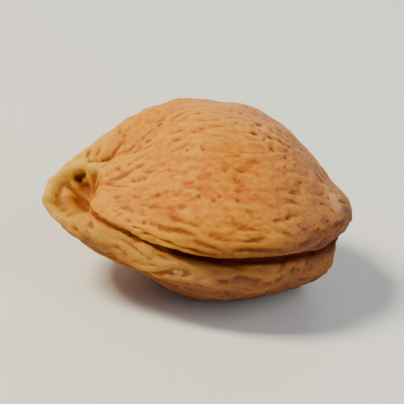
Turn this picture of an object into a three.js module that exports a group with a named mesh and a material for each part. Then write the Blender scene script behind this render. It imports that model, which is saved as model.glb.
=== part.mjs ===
// A whole dried apricot, one solid, lying on its lower cheek. Millimetres, +Z up.
// The stem end is at -X, the tip at +X, and the suture, the seam down one side, faces -Y.
import * as THREE from "three";
import { mergeVertices } from "three/addons/utils/BufferGeometryUtils.js";

const { smoothstep, seededRandom } = THREE.MathUtils;

// The smooth body, before any relief. Its ends taper: each loses a share of the height or width
// between two points of the half length, 0 at the middle and 1 at the end. A share below 0 fills it out.
const LENGTH = 31.6;
const WIDTH = 26.5;
const UPPER_CHEEK = {
  height: 10.6, // from the middle up
  stem: { share: 0.56, from: 0.05, to: 1 },
  tip: { share: 0.36, from: 0.35, to: 0.95 },
};
const LOWER_CHEEK = {
  height: 8.9, // from the middle down
  stem: { share: 0.29, from: 0, to: 0.7 },
  tip: { share: -0.3, from: 0.25, to: 0.95 },
};
const FLANKS = {
  stem: { share: 0.12, from: 0, to: 1 },
  tip: { share: 0.08, from: 0.1, to: 1 },
};
const LEAN = -0.055; // the upper cheek leans towards the stem by this much for each millimetre up
const REST_SPOT_DEPTH = 0.55; // how much of the lower cheek is pressed flat

// The suture is a cleft between an upper and a lower lip, down the -Y side.
const CLEFT = { depth: 1.8, halfWidth: 0.65 };
const UPPER_LIP = { height: 0.35, above: 1.8, halfWidth: 1.0 };
const LOWER_LIP = { height: 0.75, below: 1.7, halfWidth: 1.1 };
const SEAM = { drop: 1.3, climb: 3.4, bend: 1.6 }; // below the middle, and how it climbs to the stem hollow
const SEAM_SIDE = { from: -0.08, to: 0.35 }; // how far round to the -Y side it grows to its full depth
const SEAM_FADE = { share: 0.5, from: 0.1, to: 0.9 }; // what it loses on the way to the tip

// The stem hollow is a funnel. The flesh swells round it and ends in a thin rim, higher at the back.
const HOLLOW = { depth: 2.5, radius: 2.4, flatness: 1.3, direction: new THREE.Vector3(-0.9, -0.16, 0.45) };
const SHOULDER = { height: 0.9, radius: 6.5 };
const RIM = { height: 0.9, radius: 3.3, halfWidth: 0.8, back: new THREE.Vector3(-1, 0.8, 0.1) };
const RIM_REACH = { from: -0.6, to: 0.5 }; // cosines of the turn from its back at which it ends and is whole
const STEM_FACING = { from: 0, to: 0.35 }; // cosines between the skin's own facing and the hollow's
const PUCKERS = { count: 9, height: 0.1, inner: 0.5, full: 2, fading: 3, outer: 8 };

// A blunt bump where the flower was.
const TIP = { height: 0.4, radius: 1.8, direction: new THREE.Vector3(0.98, -0.14, 0.02) };

// The shrunken skin: broad dents, and narrower folds that run along the fruit.
const DENTS = { wavelength: 11, height: 0.12, stretch: 1.3 };
const FOLDS = { wavelength: 3.4, height: 0.1, stretch: 2.2 };
const WAVES_PER_FIELD = 40;
const SEED = 13;

const SKIN_DETAIL = 23; // cuts along each edge of the icosahedron that the skin is drawn on
const CROWDING = { seam: 0.4, stem: 0.25 }; // how far its vertices close up at the seam and at the stem
const SKIN_COLOUR = 0xc8904f;

// A bell-shaped rise of height 1 at 0, which is down to a third one halfWidth away.
function bell(distance, halfWidth) {
  return Math.exp(-((distance / halfWidth) ** 2));
}

// What is left of a height or a width at the distance x along the half length, negative towards the stem.
function taper({ stem, tip }, x) {
  return 1 - stem.share * smoothstep(-x, stem.from, stem.to) - tip.share * smoothstep(x, tip.from, tip.to);
}

// Where the smooth body lies in the unit direction d from its middle.
function bodyPoint(d) {
  const cheek = d.z > 0 ? UPPER_CHEEK : LOWER_CHEEK;
  const z = cheek.height * taper(cheek, d.x) * d.z;
  return new THREE.Vector3((LENGTH / 2) * d.x + LEAN * z, (WIDTH / 2) * taper(FLANKS, d.x) * d.y, z);
}

// The way out of the smooth body there, near enough square to its skin.
function outward(d) {
  const cheek = d.z > 0 ? UPPER_CHEEK : LOWER_CHEEK;
  return new THREE.Vector3(d.x / LENGTH, d.y / WIDTH, d.z / (2 * cheek.height)).normalize();
}

// How high the seam runs at x: level along the middle and the tip, and climbing towards the stem hollow.
function seamHeight(x) {
  const stemward = Math.max(0, -x / (LENGTH / 2));
  return SEAM.climb * stemward ** SEAM.bend - SEAM.drop;
}

// The cleft and its two lips.
function sutureRelief(p, d) {
  const side = smoothstep(-d.y, SEAM_SIDE.from, SEAM_SIDE.to);
  const fade = 1 - SEAM_FADE.share * smoothstep(d.x, SEAM_FADE.from, SEAM_FADE.to);
  const above = p.z - seamHeight(p.x);
  const lips =
    UPPER_LIP.height * bell(above - UPPER_LIP.above, UPPER_LIP.halfWidth) +
    LOWER_LIP.height * bell(above + LOWER_LIP.below, LOWER_LIP.halfWidth);
  return side * fade * (lips - CLEFT.depth * bell(above, CLEFT.halfWidth));
}

const hollowDirection = HOLLOW.direction.clone().normalize();
const hollowMouth = bodyPoint(hollowDirection);
const hollowAxis = outward(hollowDirection);
const rimBack = RIM.back.clone().projectOnPlane(hollowAxis).normalize();
const rimSide = new THREE.Vector3().crossVectors(hollowAxis, rimBack);

// The stem hollow with its shoulder and rim, and the skin puckered in towards it, all measured along
// its axis. The skin at p faces along normal, and what faces away from the hollow is left alone.
function stemRelief(p, normal) {
  const arm = new THREE.Vector3().subVectors(p, hollowMouth).projectOnPlane(hollowAxis);
  const away = arm.length();
  const turn = Math.atan2(arm.dot(rimSide), arm.dot(rimBack));
  const behind = smoothstep(Math.cos(turn), RIM_REACH.from, RIM_REACH.to);
  const fade = 1 - smoothstep(away, PUCKERS.fading, PUCKERS.outer);
  const ring = fade * smoothstep(away, PUCKERS.inner, PUCKERS.full);
  const facing = smoothstep(normal.dot(hollowAxis), STEM_FACING.from, STEM_FACING.to);
  return (
    facing *
    (SHOULDER.height * bell(away, SHOULDER.radius) +
      RIM.height * behind * bell(away - RIM.radius, RIM.halfWidth) +
      PUCKERS.height * ring * Math.cos(PUCKERS.count * turn) -
      HOLLOW.depth * bell((away / HOLLOW.radius) ** HOLLOW.flatness, 1))
  );
}

const tipPoint = bodyPoint(TIP.direction.clone().normalize());

function tipRelief(p) {
  return TIP.height * bell(p.distanceTo(tipPoint), TIP.radius);
}

// A field of rolling swells, about 1 high: waves of one length in drawn directions, added up.
// The swells are longer along X than across it by stretch.
function swells({ wavelength, stretch }) {
  const waves = Array.from({ length: WAVES_PER_FIELD }, () => {
    const along = 2 * seededRandom() - 1;
    const turn = 2 * Math.PI * seededRandom();
    const across = Math.sqrt(1 - along * along);
    const direction = new THREE.Vector3(along / stretch, across * Math.cos(turn), across * Math.sin(turn));
    return {
      wave: direction.multiplyScalar((2 * Math.PI) / wavelength),
      phase: 2 * Math.PI * seededRandom(),
    };
  });
  const evenOut = Math.sqrt(2 / WAVES_PER_FIELD);
  return (p) => evenOut * waves.reduce((sum, { wave, phase }) => sum + Math.cos(wave.dot(p) + phase), 0);
}

seededRandom(SEED);
const dents = swells(DENTS);
const folds = swells(FOLDS);

// The skin in direction d: the relief of the stem end along the hollow's axis, the rest square to the body.
function skinPoint(d) {
  const p = bodyPoint(d);
  const normal = outward(d);
  const shrunken = DENTS.height * dents(p) + FOLDS.height * folds(p);
  const stemEnd = stemRelief(p, normal);
  p.addScaledVector(normal, sutureRelief(p, d) + tipRelief(p) + shrunken);
  return p.addScaledVector(hollowAxis, stemEnd);
}

// Turns d towards the stem hollow and the level of the seam, so that the finest relief has most vertices.
function crowd(d) {
  d.addScaledVector(hollowDirection, CROWDING.stem).normalize();
  const rise = Math.asin(d.z);
  const lowered = rise - (CROWDING.seam / 2) * Math.sin(2 * rise);
  const reach = Math.cos(lowered) / Math.hypot(d.x, d.y, 1e-9);
  return d.set(d.x * reach, d.y * reach, Math.sin(lowered));
}

// Every vertex of an icosphere moved out to the skin, then the underside pressed flat where the fruit rests.
function skinGeometry() {
  const sphere = new THREE.IcosahedronGeometry(1, SKIN_DETAIL);
  sphere.deleteAttribute("normal");
  sphere.deleteAttribute("uv");
  const geometry = mergeVertices(sphere);
  const place = geometry.attributes.position;
  const d = new THREE.Vector3();
  for (let i = 0; i < place.count; i++) {
    crowd(d.fromBufferAttribute(place, i).normalize());
    place.setXYZ(i, ...skinPoint(d).toArray());
  }
  geometry.computeBoundingBox();
  const floor = geometry.boundingBox.min.z + REST_SPOT_DEPTH;
  for (let i = 0; i < place.count; i++) place.setZ(i, Math.max(place.getZ(i), floor));
  geometry.computeBoundingBox();
  const middle = geometry.boundingBox.getCenter(new THREE.Vector3());
  geometry.translate(-middle.x, -middle.y, -floor);
  geometry.computeVertexNormals();
  return geometry;
}

const apricot = new THREE.Mesh(
  skinGeometry(),
  new THREE.MeshStandardMaterial({ color: SKIN_COLOUR, roughness: 0.62, metalness: 0 }),
);
apricot.name = "apricot";

const fruit = new THREE.Group();
fruit.add(apricot);

export default fruit;
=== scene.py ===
"""A whole dried apricot on a plain pale floor. The skin is raised from the frame's solid."""
import math

import bpy
import numpy as np
from mathutils import Matrix, Vector


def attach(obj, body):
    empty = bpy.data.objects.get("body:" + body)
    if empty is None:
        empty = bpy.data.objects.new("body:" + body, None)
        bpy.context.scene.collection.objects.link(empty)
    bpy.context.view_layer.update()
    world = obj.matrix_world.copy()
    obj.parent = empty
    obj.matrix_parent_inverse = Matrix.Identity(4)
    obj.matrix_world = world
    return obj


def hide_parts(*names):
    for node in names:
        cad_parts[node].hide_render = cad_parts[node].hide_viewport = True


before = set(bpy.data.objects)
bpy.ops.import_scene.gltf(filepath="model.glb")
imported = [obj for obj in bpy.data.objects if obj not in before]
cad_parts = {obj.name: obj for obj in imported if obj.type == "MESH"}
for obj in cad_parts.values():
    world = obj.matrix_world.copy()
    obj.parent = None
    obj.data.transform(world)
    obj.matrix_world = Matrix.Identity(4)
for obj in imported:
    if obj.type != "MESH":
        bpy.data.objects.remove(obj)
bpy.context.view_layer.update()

MM = 0.001
TINY = 1e-12  # added to what is divided by, so that it is never 0

# ---- the fruit's measures, in millimetres ----
# +X runs from the stem end to the tip, the seam faces -Y, and +Z is up.

BODY_MIDDLE = np.array([0.574, 0.380, 8.398])
HALF_LENGTH, HALF_WIDTH = 15.8, 13.25
SEAM = {"level": 7.098, "climb": 3.4, "bend": 1.6}  # level, and then climbing towards the stem hollow
HOLLOW_MOUTH = np.array([-13.502, -1.460, 10.567])
HOLLOW_AXIS = np.array([-0.7905, -0.1676, 0.5891])
HOLLOW_BACK = np.array([-0.4073, 0.8622, -0.3013])
HOLLOW_RADIUS = 2.4
TIP = np.array([16.204, -1.344, 8.535])

SKIN_GRID = 0.18  # between the points of the skin's own mesh
MERGE_REACH = 0.002
KEPT_IN_BLUR = 0.25  # how much of its own value a point keeps at each round of blurring
WAVES = 48  # that are added up in each random field

# Where something begins and where it is whole.
SEAM_SIDE = (-0.08, 0.35)  # how far round to the -Y side, in half widths
TIP_FADE = {"begins": (0.35, 0.9), "share": 0.35}  # what the cleft loses towards the tip, in half lengths
CLEFT_CLOSES = (4.0, 8.5)  # towards the stem
RIDGES_BEGIN = (-12, -6)  # along X
OFF_FLOOR = (0.05, 1.6)
HOLLOW_FACING = (-0.1, 0.35)  # cosines between the skin's own facing and the hollow's
BEHIND_HOLLOW = (-0.75, 0.3)  # cosines of the turn from the back of the hollow

# The cleft. Each row: its height, how far above the seam its middle is, and its half width.
OPEN_CLEFT = [(-0.45, 0, 0.34)]
CLOSED_CLEFT = [(1.05, 0.15, 0.62), (-0.55, 0.45, 0.2), (-0.3, -0.25, 0.16)]

# Flesh moved up beside the open cleft, in the same kind of rows. The other rows end in a half length
# along X, round the middle of the seam.
OPEN_LIPS_UP = [(-0.1, 0.85, 0.6), (0.3, -0.6, 0.5)]
MIDDLE_UP = [(0.75, 0.2, 1.5, 9), (0.25, 0.7, 0.5, 8)]
MIDDLE_X = 1

# Ridges along the seam, on the upper lip and on the band below the seam, stronger in some patches.
LIP_RIDGES = {
    "height": 0.13, "spacing": 1.2, "shift": 0.5, "middle": 1.0, "half_width": 2.3, "begins": (0.1, 0.7),
    "patch_seed": 9, "patch_range": (0.2, 1.8),
}
BAND_RIDGES = {
    "height": 0.096, "spacing": 1.35, "shift": 0.2, "middle": -2.6, "half_width": 2.2, "begins": (0.4, 1.0),
    "patch_seed": 10, "patch_range": (0.1, 1.8),
}
RIDGE_PATCH = 4.0

# The tip end is drawn in along X, and more so below the seam.
TIP_DRAWN_IN = {"by": 0.5, "begins": (11.5, 15.5)}
UNDER_TIP_DRAWN_IN = {"by": 1.5, "begins": (12.0, 16.5), "below_seam": (0, 1.2)}

# Lines on the skin, as places along each. A groove runs from the stem hollow up between the cheek and the
# pale rim. The rim's line goes on up the back as a swell, and the brow carries that on towards the top.
BACK_GROOVE = [
    (-13.3, 0.9, 11.4), (-12.0, 0.9, 12.6), (-10.5, 0.9, 13.6), (-9.0, 2.2, 14.6), (-7.6, 3.6, 15.6),
]
BACK_RIM = [
    (-16.4, 0.0, 9.4), (-15.7, 1.2, 10.8), (-14.4, 2.0, 11.9), (-11.9, 3.2, 12.7),
    (-9.7, 4.4, 13.7), (-7.6, 6.0, 14.6), (-5.6, 7.4, 15.3),
]
BACK_BROW = [
    (-9.2, 5.4, 13.4), (-8.2, 4.6, 14.4), (-6.8, 4.8, 15.2),
    (-5.5, 5.0, 16.4), (-4.2, 4.6, 17.2), (-2.2, 5.0, 18.0),
]
CHEEK_CREASE = [
    (-2.2, -8.0, 16.3), (-0.8, -8.5, 16.1), (0.5, -8.7, 15.9),
    (1.6, -8.0, 16.4), (2.3, -7.4, 16.8), (3.6, -7.0, 16.8),
]
TIP_NOTCH = [(13.0, -1.6, 13.0), (14.6, -1.6, 12.0), (15.6, -2.2, 10.8)]
STEM_SLIT = [(-13.9, 1.7, 11.3), (-13.3, 0.9, 11.3), (-12.9, 0.3, 10.7), (-12.9, -0.8, 10.3)]

# How high each form stands, and its half width.
RING = {"height": 0.3, "radius": 3.25, "half_width": 0.42}
RIM_LINE = {"height": 0.6, "half_width": 0.5}
BACK_SWELL = {"height": 1.3, "half_width": 1.9}
BROW_SWELL = {"height": 0.975, "half_width": 2.2}
GROOVE = {"height": -0.5, "half_width": 0.38}
SLIT = {"height": -0.75, "half_width": 0.34}
SHOULDER = {"height": -0.6, "half_width": 3.2, "middle": np.array([13.2, 0.0, 13.0])}
CREASE = {"height": -0.08, "half_width": 0.4}
NOTCH = {"height": -0.35, "half_width": 0.4}

# Bumps and pits. Each row: the middle, the half width, and the height or depth.
TIP_BUMP = ((12.6, -5.7, 11.5), 1.5, 0.35)
STEM_BUMPS = [((-14.5, 0.2, 9.6), 0.9, 0.55), ((-12.4, 1.1, 12.3), 0.4, 0.25), ((-14.0, -1.6, 9.6), 0.7, 0.3)]
SKIN_PITS = [
    ((3.6, -3.5, 18.4), 0.36, 0.24), ((4.7, -1.3, 18.4), 0.4, 0.2), ((5.1, -5.2, 17.5), 0.42, 0.2),
    ((7.3, -0.8, 17.4), 0.4, 0.2), ((5.4, -3.5, 18.0), 0.26, 0.18), ((6.4, 1.5, 17.6), 0.3, 0.12),
    ((-10.5, 0.8, 13.5), 0.45, 0.3),
]
SCATTERED_PITS = {
    "seed": 31, "all_over": 150, "in_patch": 26, "half_width": (0.16, 0.28), "depth": (0.05, 0.13),
}
PORE_PATCH = {"middle": np.array([5.0, -3.0, 17.5]), "reach": np.array([5.0, 5.0, 4.0]), "edge": 0.4}
DARK_PIT_DEPTH = 0.3  # from this depth on, a pit is as dark as it gets, as painted shade deepening with depth

# Kinds of wrinkle. Narrow and wide are the rounds of blurring that set the width, and rounds sharpen it.
LONG_FOLDS = {"height": 0.074, "narrow": 11, "wide": 52, "rounds": 9, "seed": 11}
LIP_FOLDS = {"height": 0.05, "narrow": 4, "wide": 30, "rounds": 7, "seed": 15, "drawn_out": 0.95}
NET = {"height": 0.026, "narrow": 4, "wide": 24, "rounds": 4, "seed": 13, "drawn_out": 0.75}
ROPES = {"height": 0.085, "narrow": 5, "wide": 30, "rounds": 8, "seed": 16, "drawn_out": 0.96}
CRINKLES = {"height": 0.012, "narrow": 1, "wide": 6, "rounds": 2, "seed": 12, "drawn_out": 0.6}
FOLD_SHAPE = {"back": 0.4, "crease": 0.6, "sharpness": 2.2}
PEEL_DEPTH = 1.5  # how far inside the skin the lines from stem to tip start and end

# How far wrinkles turn from the way to the tip, in radians.
LIP_TURN, WANDERING = 0.75, 0.35
ROPE_TURN = {"least": 0.1, "more": 0.6, "begins": (1, 10)}

# Strips along the seam: how far above it the middle is, and the half width.
TURNING_STRIP, SEAM_STRIP = (1.4, 1.4), (2.0, 4.5)
UPPER_LIP_STRIP, LOWER_LIP_STRIP = (1.5, 1.3), (-1.7, 1.3)

# What the material reads: the cleft, darkened as painted shade, the rim, the lower lip, and places darkened
# or made duller as painted shade.
CLEFT_SHADE_MARK = {
    "middle": 0.05, "half_width": 0.85, "narrower": 0.4, "narrows": (4, 9),
    "fainter": 0.6, "fades": (8.5, 12),
}
RIM_MARK = {"radius": 3.3, "half_width": 0.9, "line_half_width": 0.8, "fades": (0.4, 0.9)}
LOWER_LIP_MARK = {"middle": -1.2, "half_width": 0.9, "begins": (-3, 7)}
# Painted shade on the tip side and on the band below the seam, made duller and bluer.
SHADED_TIP_SIDE, SHADED_BAND = (-1, 9), {"below": (-0.2, 0.8), "begins": (-9, -4)}
# Painted shade, darker brown: on the band below the seam, below the tip, and on the upper lip just above the
# cleft.
BAND_SHADE = {
    "all_round": 0.4, "in_front": 0.45, "below": (1.1, 3.0),
    "middle": (-7, 1), "below_middle": (-0.3, 2.2),
}
UNDER_TIP_SHADE = {"below": (-2.4, -1.4), "begins": (5, 10), "fainter": 0.2, "fades": (0.3, 1.0)}
LIP_UNDER_SHADE = {"most": 0.9, "below": (-4.4, -1.9), "above": (-0.2, 0.6), "begins": (-9, -1)}

FULL_CREST, FULL_SWELL = 0.05, 0.25  # how far a point stands out where crest and swell reach 1
BLUSH_MIDDLE, BLUSH_REACH = np.array([-2.0, -9.0, 14.6]), np.array([7.5, 6, 4.5])


# ---- helpers for modelling ----


def deselect_all():
    bpy.ops.object.select_all(action="DESELECT")


def pick(piece):
    deselect_all()
    piece.select_set(True)
    bpy.context.view_layer.objects.active = piece


def apply_modifier(piece, name, kind, **settings):
    pick(piece)
    modifier = piece.modifiers.new(name, kind)
    for key, value in settings.items():
        setattr(modifier, key, value)
    bpy.ops.object.modifier_apply(modifier=modifier.name)


def skin_blank():
    """A copy of the solid, merged, rounded off and laid out again in small squares."""
    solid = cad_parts["apricot"]
    blank = bpy.data.objects.new("dried_apricot", solid.data.copy())
    bpy.context.scene.collection.objects.link(blank)
    blank.data.materials.clear()
    pick(blank)
    bpy.ops.object.mode_set(mode="EDIT")
    bpy.ops.mesh.select_all(action="SELECT")
    bpy.ops.mesh.remove_doubles(threshold=MERGE_REACH * MM)
    bpy.ops.object.mode_set(mode="OBJECT")
    apply_modifier(blank, "rounding", "SUBSURF", levels=1, render_levels=1)
    apply_modifier(blank, "small_squares", "REMESH", mode="VOXEL", voxel_size=SKIN_GRID * MM)
    apply_modifier(blank, "evening", "SMOOTH", factor=0.5, iterations=3)
    return blank


def step(value, low, high):
    """0 below low, 1 above high, and a smooth rise between them."""
    share = np.clip((value - low) / (high - low), 0, 1)
    return share * share * (3 - 2 * share)


def between(value, from_0, to_1, from_1, to_0):
    """A rise from 0 to 1 between the first two places, and a fall back to 0 between the last two."""
    return step(value, from_0, to_1) * (1 - step(value, from_1, to_0))


def bell(distance, half_width):
    """1 at no distance, and down to a third at the half width."""
    return np.exp(-((distance / half_width) ** 2))


def unit(vectors):
    return vectors / (np.linalg.norm(vectors, axis=1, keepdims=True) + TINY)


def strip(above, middle, half_width):
    """A soft strip along the seam."""
    return bell(above - middle, half_width)


def away_from(points, place):
    return np.linalg.norm(points - np.array(place), axis=1)


def to_line(points, line):
    """How far the points lie from a line through the given places, and how far along it from 0 to 1."""
    best = np.full(len(points), np.inf)
    along = np.zeros(len(points))
    line = np.array(line, float)
    for k in range(len(line) - 1):
        reach = line[k + 1] - line[k]
        t = np.clip((points - line[k]) @ reach / (reach @ reach), 0, 1)
        away = np.linalg.norm(points - line[k] - t[:, None] * reach, axis=1)
        nearer = away < best
        best[nearer] = away[nearer]
        along[nearer] = (k + t[nearer]) / (len(line) - 1)
    return best, along


def rolling(points, wavelength, seed, stretch=(1, 1, 1)):
    """A smooth random field, about 1 high, with swells of the given length."""
    dice = np.random.default_rng(seed)
    heading = dice.normal(size=(WAVES, 3))
    heading /= np.linalg.norm(heading, axis=1, keepdims=True)
    heading = heading / np.array(stretch) * (2 * math.pi / wavelength)
    phase = dice.uniform(0, 2 * math.pi, WAVES)
    total = np.zeros(len(points))
    for k in range(WAVES):
        total += np.cos(points @ heading[k] + phase[k])
    return total * math.sqrt(2 / WAVES)


def patches(points, wavelength, seed, low, high):
    """Patches where relief is weaker or stronger, round 1 and held between low and high."""
    return np.clip(1 + 0.5 * rolling(points, wavelength, seed), low, high)


# ---- the skin ----


class Skin:
    """The skin's points in millimetres, with what is worked out on them."""

    def __init__(self, piece):
        self.piece = piece
        mesh = piece.data
        self.count = len(mesh.vertices)
        places = np.zeros(self.count * 3, np.float32)
        mesh.vertices.foreach_get("co", places)
        self.points = places.reshape(-1, 3).astype(float) / MM
        sides = np.zeros(len(mesh.edges) * 2, np.int32)
        mesh.edges.foreach_get("vertices", sides)
        sides = sides.reshape(-1, 2)
        corners = np.zeros(len(mesh.loops), np.int32)
        mesh.loops.foreach_get("vertex_index", corners)
        squares = corners.reshape(-1, 4)
        links = np.concatenate([sides, squares[:, [0, 2]], squares[:, [1, 3]]])
        self.here = np.concatenate([links[:, 0], links[:, 1]])
        self.there = np.concatenate([links[:, 1], links[:, 0]])
        self.squares = squares
        self.even = self.weights(np.ones(len(self.here)))

    def write(self):
        mesh = self.piece.data
        mesh.vertices.foreach_set("co", (self.points * MM).astype(np.float32).ravel())
        mesh.update()

    def weights(self, pull):
        """How much each neighbour counts, so that those round one point add up to 1."""
        total = np.bincount(self.here, weights=pull, minlength=self.count)
        return pull / total[self.here]

    def blur(self, values, rounds, weights=None):
        """Values evened out with those of the neighbours, as many times as asked."""
        weights = self.even if weights is None else weights
        flat = values.ndim == 1
        columns = [values] if flat else list(values.T)
        for _ in range(rounds):
            for k, old in enumerate(columns):
                from_others = np.bincount(self.here, weights=weights * old[self.there], minlength=self.count)
                columns[k] = KEPT_IN_BLUR * old + (1 - KEPT_IN_BLUR) * from_others
        return columns[0] if flat else np.stack(columns, 1)

    def normals(self):
        a, b, c, d = (self.points[self.squares[:, k]] for k in range(4))
        area = np.cross(c - a, d - b)
        total = np.zeros((self.count, 3))
        for k in range(4):
            for axis in range(3):
                total[:, axis] += np.bincount(self.squares[:, k], weights=area[:, axis], minlength=self.count)
        return unit(total)

    def standing_out(self, rounds):
        """How far each point stands out of the skin round it, blurred that many times."""
        return ((self.points - self.blur(self.points, rounds)) * self.normals()).sum(1)

    def mark(self, name, values):
        """Keeps values on the mesh for the material to read."""
        attribute = self.piece.data.attributes.new(name, "FLOAT", "POINT")
        attribute.data.foreach_set("value", np.asarray(values, np.float32))


def above_seam(points):
    stemward = np.maximum(0, -(points[:, 0] - BODY_MIDDLE[0]) / HALF_LENGTH)
    return points[:, 2] - (SEAM["level"] + SEAM["climb"] * stemward ** SEAM["bend"])


class Places:
    """Where each point of the smooth skin lies: distances in millimetres, and shares from 0 to 1."""

    def __init__(self, skin):
        p = self.points = skin.points
        self.facing = unit(skin.blur(skin.normals(), 12))
        self.x = p[:, 0]
        self.above = above_seam(p)
        self.front = step(-(p[:, 1] - BODY_MIDDLE[1]) / HALF_WIDTH, *SEAM_SIDE)
        self.off_floor = step(p[:, 2], *OFF_FLOOR)

        arm = p - HOLLOW_MOUTH
        arm = arm - (arm @ HOLLOW_AXIS)[:, None] * HOLLOW_AXIS
        self.from_hollow = np.linalg.norm(arm, axis=1)
        self.hollow_facing = step(self.facing @ HOLLOW_AXIS, *HOLLOW_FACING)
        self.behind = step((arm @ HOLLOW_BACK) / (self.from_hollow + TINY), *BEHIND_HOLLOW)
        self.in_hollow = self.hollow_facing * bell(self.from_hollow, HOLLOW_RADIUS)

        # The cleft is nearly closed towards the stem, deep along the middle, and fades towards the tip.
        tipward = (self.x - BODY_MIDDLE[0]) / HALF_LENGTH
        tip_fade = TIP_FADE["share"] * step(tipward, *TIP_FADE["begins"])
        self.seam = self.front * (1 - tip_fade) * (1 - self.in_hollow)
        self.closed = self.front * step(-self.x, *CLEFT_CLOSES) * (1 - 0.6 * self.in_hollow)
        self.open_seam = self.seam * (1 - self.closed)

        # Lines that waver as they run along the upper lip and along the band.
        long_waves = (1, 2, 3)
        self.wavy_lip = self.above + 0.25 * rolling(p, 5.5, 3, long_waves) + 0.14 * rolling(p, 2.6, 4)
        self.wavy_band = self.above + 0.35 * rolling(p, 6.0, 6, long_waves) + 0.16 * rolling(p, 2.4, 7)

        self.from_rim, self.along_rim = to_line(p, BACK_RIM)
        from_groove, self.along_groove = to_line(p, BACK_GROOVE)
        self.groove = bell(from_groove, GROOVE["half_width"]) * (1 - 0.8 * step(self.along_groove, 0.6, 1.0))
        from_crease, along_crease = to_line(p, CHEEK_CREASE)
        self.crease = 0.5 * bell(from_crease, CREASE["half_width"]) * between(along_crease, 0, 0.3, 0.65, 1)


def seam_rows(above, rows):
    return sum(height * strip(above, middle, half_width) for height, middle, half_width in rows)


def seam_ridges(at, wavy, ridges):
    """Ridges that run along the seam on one side of it."""
    side = math.copysign(1, ridges["middle"])
    near = strip(at.above, ridges["middle"], ridges["half_width"]) * step(side * at.above, *ridges["begins"])
    near = near * patches(at.points, RIDGE_PATCH, ridges["patch_seed"], *ridges["patch_range"])
    return ridges["height"] * near * np.sin(2 * math.pi * (wavy - ridges["shift"]) / ridges["spacing"])


def cleft_relief(at):
    """The cleft between its two lips, with ridges along them."""
    ridges = seam_ridges(at, at.wavy_lip, LIP_RIDGES) + seam_ridges(at, at.wavy_band, BAND_RIDGES)
    cleft = at.open_seam * seam_rows(at.above, OPEN_CLEFT) + at.closed * seam_rows(at.above, CLOSED_CLEFT)
    return cleft + at.seam * step(at.x, *RIDGES_BEGIN) * ridges


def stem_relief(at):
    """The sharp rim of the stem hollow, and the groove and swell that run on up the back from it."""
    ring = at.hollow_facing * at.behind * bell(at.from_hollow - RING["radius"], RING["half_width"])
    rim_line = bell(at.from_rim, RIM_LINE["half_width"]) * (1 - step(at.along_rim, 0.3, 0.7))
    back_swell = bell(at.from_rim, BACK_SWELL["half_width"]) * between(at.along_rim, 0.3, 0.5, 0.65, 1.0)
    from_brow, along_brow = to_line(at.points, BACK_BROW)
    brow_swell = bell(from_brow, BROW_SWELL["half_width"]) * between(along_brow, 0.05, 0.45, 0.5, 1.0)
    return (
        RING["height"] * ring
        + RIM_LINE["height"] * rim_line
        + BACK_SWELL["height"] * back_swell
        + BROW_SWELL["height"] * brow_swell
        + GROOVE["height"] * at.groove
    )


def tip_relief(at):
    """The shoulder over the tip, drawn in, and the notch beside the tip."""
    shoulder = bell(away_from(at.points, SHOULDER["middle"]), SHOULDER["half_width"])
    from_notch, _ = to_line(at.points, TIP_NOTCH)
    return SHOULDER["height"] * shoulder + NOTCH["height"] * bell(from_notch, NOTCH["half_width"])


def pits_and_bumps(at):
    """The relief of the small pits and bumps, and how far into a pit each point is."""
    p = at.points
    from_slit, _ = to_line(p, STEM_SLIT)
    pits = bell(from_slit / (1 + 0.35 * rolling(p, 1.6, 8)), SLIT["half_width"])
    relief = SLIT["height"] * pits + CREASE["height"] * at.crease
    for place, size, height in STEM_BUMPS + [TIP_BUMP]:
        relief += height * bell(away_from(p, place), size)

    dice = np.random.default_rng(SCATTERED_PITS["seed"])
    from_pores = np.linalg.norm((p - PORE_PATCH["middle"]) / PORE_PATCH["reach"], axis=1)
    in_patch = bell(from_pores, 1) > PORE_PATCH["edge"]
    all_over = p[dice.choice(len(p), SCATTERED_PITS["all_over"], replace=False)]
    pores = p[dice.choice(np.flatnonzero(in_patch), SCATTERED_PITS["in_patch"], replace=False)]
    scattered = np.concatenate([all_over, pores])
    sizes = dice.uniform(*SCATTERED_PITS["half_width"], len(scattered))
    depths = dice.uniform(*SCATTERED_PITS["depth"], len(scattered))
    for place, size, depth in SKIN_PITS + list(zip(scattered, sizes, depths)):
        dip = bell(away_from(p, place), size)
        relief -= depth * dip
        pits = np.maximum(pits, dip * min(1, depth / DARK_PIT_DEPTH))
    return relief, pits


def flesh_moved(at):
    """How far the flesh moves up or down beside the seam, and is drawn in at the tip end."""
    move = np.zeros_like(at.points)
    move[:, 2] = at.open_seam * seam_rows(at.above, OPEN_LIPS_UP)
    for up, middle, half_width, half_length in MIDDLE_UP:
        move[:, 2] += up * at.front * bell(at.x - MIDDLE_X, half_length) * strip(at.above, middle, half_width)
    tip, under = TIP_DRAWN_IN, UNDER_TIP_DRAWN_IN
    move[:, 0] = -tip["by"] * step(at.x, *tip["begins"])
    move[:, 0] -= under["by"] * step(at.x, *under["begins"]) * step(-at.above, *under["below_seam"])
    return move


# ---- wrinkles ----


def stem_to_tip(points, normals):
    """The way along the skin from the stem hollow to the tip, as the lines of a peeled fruit run."""
    from_stem = points - (HOLLOW_MOUTH - PEEL_DEPTH * HOLLOW_AXIS)
    from_tip = points - (TIP - np.array([PEEL_DEPTH, 0, 0]))
    way = from_stem / (np.linalg.norm(from_stem, axis=1, keepdims=True) ** 2 + TINY)
    way = way - from_tip / (np.linalg.norm(from_tip, axis=1, keepdims=True) ** 2 + TINY)
    way -= (way * normals).sum(1, keepdims=True) * normals
    return unit(way)


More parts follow.
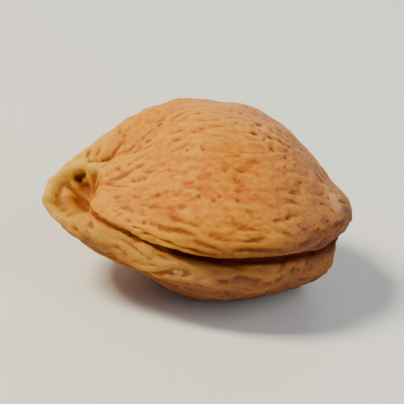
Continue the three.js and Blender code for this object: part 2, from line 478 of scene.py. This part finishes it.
def wrinkles(skin, way, kind, drawn_out):
    """Ridges and creases on the skin, evenly about 1 high, drawn out along the given way by 0 to 1."""
    edge = unit(skin.points[skin.there] - skin.points[skin.here])
    lean = (edge * way[skin.here]).sum(1) ** 2
    share = np.broadcast_to(drawn_out, skin.count)[skin.here]
    weights = skin.weights(0.004 + share * lean**5 + (1 - share) * 0.5)
    field = np.random.default_rng(kind["seed"]).normal(size=skin.count)
    for _ in range(kind["rounds"]):
        fine = skin.blur(field, kind["narrow"], weights)
        broad = skin.blur(fine, kind["wide"], weights)
        field = fine - broad
        field = np.tanh(0.9 * field / (field.std() + TINY))
    return field / (field.std() + TINY)


def folded(field):
    """Turns an even field into broad rounded backs with narrow creases between them."""
    sharpness = FOLD_SHAPE["sharpness"]
    creases = np.logaddexp(0, -sharpness * field) / sharpness
    return FOLD_SHAPE["back"] * np.tanh(field) - FOLD_SHAPE["crease"] * creases


def fold_skin(skin, at):
    """Long folds from stem to tip, slanting ones on the lips, ropes on the lower lip, and a net all over."""
    p, above, front = at.points, at.above, at.front
    n = unit(skin.blur(skin.normals(), 6))
    along = stem_to_tip(skin.points, n)
    across = np.cross(n, along)

    def turned(angle):
        return along * np.cos(angle)[:, None] + across * np.sin(angle)[:, None]

    near_seam = front * strip(above, *SEAM_STRIP)
    drawn_out = np.clip(0.9 + 0.1 * near_seam + 0.3 * bell(at.from_hollow, 5), 0, 1)
    lip_way = turned(LIP_TURN * strip(above, *TURNING_STRIP) * front + WANDERING * rolling(p, 9.0, 5))
    rope_way = turned(ROPE_TURN["least"] + ROPE_TURN["more"] * step(skin.points[:, 0], *ROPE_TURN["begins"]))
    long_folds = folded(wrinkles(skin, along, LONG_FOLDS, drawn_out))
    lip_folds = folded(wrinkles(skin, lip_way, LIP_FOLDS, LIP_FOLDS["drawn_out"]))
    net = folded(wrinkles(skin, along, NET, NET["drawn_out"]))
    ropes = folded(wrinkles(skin, rope_way, ROPES, ROPES["drawn_out"]))
    crinkles = wrinkles(skin, along, CRINKLES, CRINKLES["drawn_out"])

    dome = step(above, 3.0, 7.5) * step(n[:, 2] - 0.25 * n[:, 1], 0.1, 0.75)
    lips = front * (strip(above, *UPPER_LIP_STRIP) + strip(above, *LOWER_LIP_STRIP))
    lips = lips * (1 - 0.55 * step(-above, 0, 0.6))
    band = front * step(-above, 0.8, 2.0)
    lower_lip = front * step(-above, 0.0, 0.7) * step(p[:, 2], 0.5, 2.5)
    wide_patches = patches(p, 5.0, 21, 0.15, 2.0)
    small_patches = patches(p, 3.5, 22, 0.1, 2.0)
    moved = (
        LONG_FOLDS["height"] * wide_patches * (1 - 0.35 * dome) * (1 + 0.25 * band) * long_folds
        + LIP_FOLDS["height"] * small_patches * lips * (lip_folds + 0.3)
        + NET["height"] * small_patches * (1 - 0.4 * near_seam + 0.5 * band) * net
        + ROPES["height"] * small_patches * lower_lip * (ropes + 0.2)
        + CRINKLES["height"] * crinkles
    )
    calm = at.off_floor * (1 - 0.8 * at.in_hollow)
    skin.points = skin.points + n * (calm * moved)[:, None]
    skin.points[:, 2] = np.maximum(skin.points[:, 2], 0)


# ---- what the material reads ----


def painted_under_shade(at):
    """Where painted shade makes the skin browner: the band, the tip end below its bump, and the upper lip's
    underside.
    """
    below, below_wavy = -at.above, -at.wavy_band
    middle = step(at.x, *BAND_SHADE["middle"]) * step(below_wavy, *BAND_SHADE["below_middle"])
    band = np.maximum(step(below_wavy, *BAND_SHADE["below"]), middle)
    band = (BAND_SHADE["all_round"] + BAND_SHADE["in_front"] * at.front) * band
    tip = step(below, *UNDER_TIP_SHADE["below"]) * step(at.x, *UNDER_TIP_SHADE["begins"])
    tip = tip * (1 - UNDER_TIP_SHADE["fainter"] * step(below, *UNDER_TIP_SHADE["fades"]))
    lip = step(below, *LIP_UNDER_SHADE["below"]) * step(at.above, *LIP_UNDER_SHADE["above"])
    lip = LIP_UNDER_SHADE["most"] * lip * step(at.x, *LIP_UNDER_SHADE["begins"])
    return np.maximum(band, at.front * np.maximum(tip, lip))


def mark_skin(skin, at, pits):
    above, front, stemward = at.above, at.front, -at.x
    skin.mark("crest", np.clip(skin.standing_out(8) / FULL_CREST, -1, 1))
    skin.mark("swell", np.clip(skin.standing_out(60) / FULL_SWELL, -1, 1))

    # Painted shade along the cleft, narrower and fainter towards the stem.
    half_width = CLEFT_SHADE_MARK["half_width"] - CLEFT_SHADE_MARK["narrower"] * step(stemward, *CLEFT_SHADE_MARK["narrows"])
    fade = 1 - CLEFT_SHADE_MARK["fainter"] * step(stemward, *CLEFT_SHADE_MARK["fades"])
    skin.mark("cleft", at.seam * strip(above, CLEFT_SHADE_MARK["middle"], half_width) * fade)
    # The stem slit's dark scar, and painted shade in the pits and the back groove, darker the deeper the pit.
    skin.mark("pit", np.maximum(pits, 0.6 * at.groove * (1 - step(at.along_groove, 0.5, 0.9))))
    skin.mark("crease", at.crease)
    # Painted shade in the stem hollow.
    skin.mark("hollow", np.clip(at.in_hollow * 1.3, 0, 1))

    ring = at.hollow_facing * at.behind * bell(at.from_hollow - RIM_MARK["radius"], RIM_MARK["half_width"])
    rim_line = bell(at.from_rim, RIM_MARK["line_half_width"]) * (1 - step(at.along_rim, *RIM_MARK["fades"]))
    skin.mark("rim", np.maximum(ring, rim_line))
    lower_lip = strip(above, LOWER_LIP_MARK["middle"], LOWER_LIP_MARK["half_width"])
    lower_lip = lower_lip * step(stemward, *LOWER_LIP_MARK["begins"])
    skin.mark("lower_lip", front * lower_lip * (1 - 0.5 * at.in_hollow))
    # A painted highlight on the tip bump.
    middle, half_width, _ = TIP_BUMP
    skin.mark("painted_tip_highlight", 1.6 * bell(away_from(at.points, middle), half_width))

    # Painted shade on the tip side and the band below the seam.
    shaded_band_mark = front * step(-above, *SHADED_BAND["below"]) * step(at.x, *SHADED_BAND["begins"])
    skin.mark("shaded_side", np.maximum(step(at.x, *SHADED_TIP_SIDE), shaded_band_mark))
    # Painted shade below the seam, below the tip and on the upper lip above the cleft.
    skin.mark("underside", painted_under_shade(at))
    skin.mark("blush", bell(np.linalg.norm((skin.points - BLUSH_MIDDLE) / BLUSH_REACH, axis=1), 1))


def form_skin(piece):
    """The forms first, then the wrinkles on them, and then the marks for the material."""
    skin = Skin(piece)
    at = Places(skin)
    small_relief, pits = pits_and_bumps(at)
    relief = cleft_relief(at) + stem_relief(at) + tip_relief(at) + small_relief
    skin.points = at.points + at.facing * relief[:, None] + flesh_moved(at)
    fold_skin(skin, at)
    skin.write()
    mark_skin(skin, at, pits)


# ---- helpers for materials ----


def new_material(name):
    material = bpy.data.materials.new(name)
    material.use_nodes = True
    tree = material.node_tree
    tree.nodes.clear()
    return material, tree


def put(tree, kind, **settings):
    node = tree.nodes.new(kind)
    for key, value in settings.items():
        setattr(node, key, value)
    return node


def join(tree, source, target):
    tree.links.new(source, target)


def fill(tree, socket, value):
    """A number, a colour or another node's output for a socket."""
    if isinstance(value, (int, float)):
        socket.default_value = value
    elif isinstance(value, tuple):
        socket.default_value = (*value, 1)
    else:
        join(tree, value, socket)


def remap(tree, value, low, high, to_low=0.0, to_high=1.0):
    node = put(tree, "ShaderNodeMapRange", interpolation_type="SMOOTHSTEP")
    join(tree, value, node.inputs["Value"])
    for key, number in zip(("From Min", "From Max", "To Min", "To Max"), (low, high, to_low, to_high)):
        node.inputs[key].default_value = number
    return node.outputs["Result"]


def combine(tree, operation, a, b):
    node = put(tree, "ShaderNodeMath", operation=operation)
    for socket, value in zip(node.inputs, (a, b)):
        fill(tree, socket, value)
    return node.outputs[0]


def read_mark(tree, name, share=None):
    """A mark that is kept on the skin, or a share of it."""
    mark = put(tree, "ShaderNodeAttribute", attribute_name=name).outputs["Fac"]
    return mark if share is None else combine(tree, "MULTIPLY", mark, share)


def tint(tree, under, over, share, how="MIX"):
    """The colour over laid on the colour under, by share."""
    node = put(tree, "ShaderNodeMix", data_type="RGBA", blend_type=how)
    a, b = ([s for s in node.inputs if s.name == key and s.type == "RGBA"][0] for key in "AB")
    fill(tree, a, under)
    fill(tree, b, over)
    fill(tree, node.inputs[0], share)
    return [s for s in node.outputs if s.type == "RGBA"][0]


def noise(tree, place, millimetres, detail=3.0, roughness=0.55, warp=0.0):
    node = put(tree, "ShaderNodeTexNoise")
    join(tree, place, node.inputs["Vector"])
    node.inputs["Scale"].default_value = 1 / (millimetres * MM)
    node.inputs["Detail"].default_value = detail
    node.inputs["Roughness"].default_value = roughness
    node.inputs["Distortion"].default_value = warp
    return node.outputs["Fac"]


def finish_material(tree, shader):
    output = put(tree, "ShaderNodeOutputMaterial")
    join(tree, shader.outputs["BSDF"], output.inputs["Surface"])


# ---- materials ----

OCHRE = (0.57, 0.196, 0.011)
# Painted shade on the shaded tip side and the band below the seam: a duller ochre, and a bluer tint
# multiplied in.
SHADED_SIDE_OCHRE = (0.50, 0.178, 0.044)
SHADED_SIDE_TINT = (0.98, 0.97, 1.5)  # painted shade: multiplied in to make the shaded tip side and band bluer
BLUSH = (0.58, 0.143, 0.013)
EMBER = (0.50, 0.085, 0.010)
STRAW = (0.69, 0.315, 0.026)
RIM_STRAW = (0.68, 0.41, 0.050)
LIP_STRAW = (0.42, 0.205, 0.036)
# A painted highlight on the tip bump.
TIP_HIGHLIGHT = (0.78, 0.38, 0.095)
# A dark brown: the skin's own random patches and specks, and painted shade in creases, dips and the stem
# hollow.
BROWN_AND_SHADE = (0.23, 0.054, 0.010)
# Painted shade below the seam and the tip.
UNDER_SHADE = (0.130, 0.036, 0.014)
# Painted shade in the cleft.
CLEFT_SHADE_COLOUR = (0.125, 0.018, 0.006)
# The stem slit's own dark scar, and painted shade in the pits and the back groove.
RED_BROWN = (0.20, 0.030, 0.005)
PALE_GREY = (0.80, 0.79, 0.77)


def skin_colour(tree, place, drawn, mottle):
    """Ochre with a red blush and straw mottling, crests paler partly of themselves and partly as painted
    highlight, a painted highlight on the tip bump, painted shade in the creases, the stem hollow, the cleft,
    below the seam and on the tip side, and pits darkened as the stem's own scar and as painted shade.
    """
    crest = read_mark(tree, "crest")
    swell = read_mark(tree, "swell")
    patched = noise(tree, place, 7.0, detail=2.0)
    specks = noise(tree, place, 0.45, detail=2.0)
    streaks = noise(tree, drawn, 1.0, roughness=0.6, warp=0.5)

    # Painted shade: a duller ochre on the shaded tip side and the band below the seam.
    colour = tint(tree, OCHRE, SHADED_SIDE_OCHRE, read_mark(tree, "shaded_side"))
    colour = tint(tree, colour, BROWN_AND_SHADE, remap(tree, patched, 0.52, 0.75, 0, 0.3))
    colour = tint(tree, colour, BLUSH, read_mark(tree, "blush", 0.8))
    in_blush = remap(tree, read_mark(tree, "blush"), 0.0, 0.8)
    embers = combine(tree, "MULTIPLY", remap(tree, streaks, 0.5, 0.68), in_blush)
    embers = combine(tree, "MAXIMUM", embers, read_mark(tree, "crease"))
    colour = tint(tree, colour, EMBER, combine(tree, "MULTIPLY", embers, 0.55))

    colour = tint(tree, colour, STRAW, remap(tree, mottle, 0.48, 0.7, 0, 0.55))
    colour = tint(tree, colour, STRAW, remap(tree, streaks, 0.48, 0.3, 0, 0.4))
    # Paler on crests and swells: partly the skin's own paler ridges, partly painted highlight.
    colour = tint(tree, colour, STRAW, remap(tree, crest, 0.05, 0.8, 0, 0.5))
    colour = tint(tree, colour, STRAW, remap(tree, swell, 0.15, 0.9, 0, 0.35))
    colour = tint(tree, colour, LIP_STRAW, read_mark(tree, "lower_lip", 0.8))
    # A painted highlight on the tip bump.
    colour = tint(tree, colour, TIP_HIGHLIGHT, read_mark(tree, "painted_tip_highlight", 0.75))
    colour = tint(tree, colour, RIM_STRAW, read_mark(tree, "rim", 0.85))

    # Painted shade in the stem hollow, and in the creases and dips of the relief, partly the skin's own
    # browner creases.
    colour = tint(tree, colour, BROWN_AND_SHADE, read_mark(tree, "hollow", 0.35))
    colour = tint(tree, colour, BROWN_AND_SHADE, remap(tree, crest, -0.1, -1.1, 0, 0.75))
    colour = tint(tree, colour, BROWN_AND_SHADE, remap(tree, swell, -0.2, -1.0, 0, 0.6))
    # Painted shade below the seam, below the tip and on the upper lip above the cleft.
    colour = tint(tree, colour, UNDER_SHADE, read_mark(tree, "underside", 0.9))
    # Painted shade: bluer on the shaded tip side and the band.
    colour = tint(tree, colour, SHADED_SIDE_TINT, read_mark(tree, "shaded_side"), "MULTIPLY")
    # Painted shade along the cleft.
    colour = tint(tree, colour, CLEFT_SHADE_COLOUR, read_mark(tree, "cleft", 0.9))
    # The stem slit's dark scar, and painted shade in the pits and the back groove.
    colour = tint(tree, colour, RED_BROWN, read_mark(tree, "pit", 0.85))
    return tint(tree, colour, BROWN_AND_SHADE, remap(tree, specks, 0.6, 0.75, 0, 0.5))


def skin_relief(tree, place, drawn):
    """Bumps and a fine grain, too small for the mesh."""
    bumps = combine(tree, "MULTIPLY", noise(tree, drawn, 0.42, detail=4.0, roughness=0.6, warp=0.4), 0.75)
    grain = combine(tree, "MULTIPLY", noise(tree, place, 0.14, detail=2.0), 0.25)
    height = combine(tree, "ADD", bumps, grain)
    relief = put(tree, "ShaderNodeBump")
    relief.inputs["Strength"].default_value = 0.6
    relief.inputs["Distance"].default_value = 0.2 * MM
    join(tree, height, relief.inputs["Height"])
    return relief.outputs["Normal"]


def dried_skin():
    material, tree = new_material("dried_apricot_skin")
    place = put(tree, "ShaderNodeTexCoord").outputs["Object"]
    stretching = put(tree, "ShaderNodeMapping")
    join(tree, place, stretching.inputs["Vector"])
    stretching.inputs["Scale"].default_value = (0.4, 1, 1)
    drawn = stretching.outputs["Vector"]
    mottle = noise(tree, place, 1.6, detail=4.0, roughness=0.6)

    shader = put(tree, "ShaderNodeBsdfPrincipled")
    join(tree, skin_colour(tree, place, drawn, mottle), shader.inputs["Base Color"])
    join(tree, remap(tree, mottle, 0.3, 0.7, 0.46, 0.62), shader.inputs["Roughness"])
    join(tree, skin_relief(tree, place, drawn), shader.inputs["Normal"])
    shader.inputs["IOR"].default_value = 1.42
    shader.inputs["Specular IOR Level"].default_value = 0.12
    shader.inputs["Subsurface Weight"].default_value = 0.15
    shader.inputs["Subsurface Radius"].default_value = (1.0, 0.4, 0.15)
    shader.inputs["Subsurface Scale"].default_value = 0.6 * MM
    finish_material(tree, shader)
    return material


def floor_paint():
    material, tree = new_material("pale_floor")
    shader = put(tree, "ShaderNodeBsdfPrincipled")
    shader.inputs["Base Color"].default_value = (*PALE_GREY, 1)
    shader.inputs["Roughness"].default_value = 0.85
    finish_material(tree, shader)
    return material


# ---- the fruit ----

apricot = skin_blank()
form_skin(apricot)
pick(apricot)
bpy.ops.object.shade_smooth()
apricot.data.materials.append(dried_skin())
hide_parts("apricot")
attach(apricot, "root")

# ---- floor, light and camera, in metres ----

FLOOR_SIZE = 3

deselect_all()
bpy.ops.mesh.primitive_plane_add(size=FLOOR_SIZE, location=(0, 0, 0))
floor = bpy.context.active_object
floor.name = "floor"
floor.data.materials.append(floor_paint())

AZIMUTH, ELEVATION, ROLL = math.radians(-18), math.radians(24), math.radians(7)
AIM = Vector((0.0, 0.0, 9.0)) * MM
DISTANCE = 350 * MM
FRAME_WIDTH, FOCAL_LENGTH = 36, 300  # of the lens, in millimetres

outward = math.cos(ELEVATION)
back = Vector((math.sin(AZIMUTH) * outward, -math.cos(AZIMUTH) * outward, math.sin(ELEVATION)))
level = Vector((math.cos(AZIMUTH), math.sin(AZIMUTH), 0))
upright = back.cross(level)
right = level * math.cos(ROLL) + upright * math.sin(ROLL)
up = upright * math.cos(ROLL) - level * math.sin(ROLL)

lens = bpy.data.cameras.new("camera")
lens.sensor_width = FRAME_WIDTH
lens.lens = FOCAL_LENGTH
camera = bpy.data.objects.new("camera", lens)
bpy.context.scene.collection.objects.link(camera)
turn = Matrix((right, up, back)).transposed().to_4x4()
camera.matrix_world = Matrix.Translation(AIM + back * DISTANCE) @ turn
bpy.context.scene.camera = camera


def lamp(name, across, upward, forward, size, power, colour=(1, 1, 1)):
    """A soft square lamp, placed as seen from the camera, and turned to the fruit."""
    light = bpy.data.lights.new(name, "AREA")
    light.size = size
    light.energy = power
    light.color = colour
    piece = bpy.data.objects.new(name, light)
    bpy.context.scene.collection.objects.link(piece)
    place = AIM + right * across + up * upward + back * forward
    piece.location = place
    piece.rotation_euler = (place - AIM).to_track_quat("Z", "Y").to_euler()


WARM, COOL, FAINTLY_COOL = (1.0, 0.925, 0.66), (0.88, 0.94, 1.0), (0.92, 0.96, 1.0)

lamp("key_light", across=-0.38, upward=0.54, forward=0.34, size=0.2, power=9.2, colour=WARM)
lamp("fill_light", across=0.55, upward=0.25, forward=0.50, size=0.60, power=2.8, colour=COOL)
lamp("back_light", across=0.10, upward=0.50, forward=-0.50, size=0.40, power=1.5)

world = bpy.data.worlds.new("soft_room")
world.use_nodes = True
background = world.node_tree.nodes["Background"]
background.inputs["Color"].default_value = (*FAINTLY_COOL, 1)
background.inputs["Strength"].default_value = 0.24
bpy.context.scene.world = world
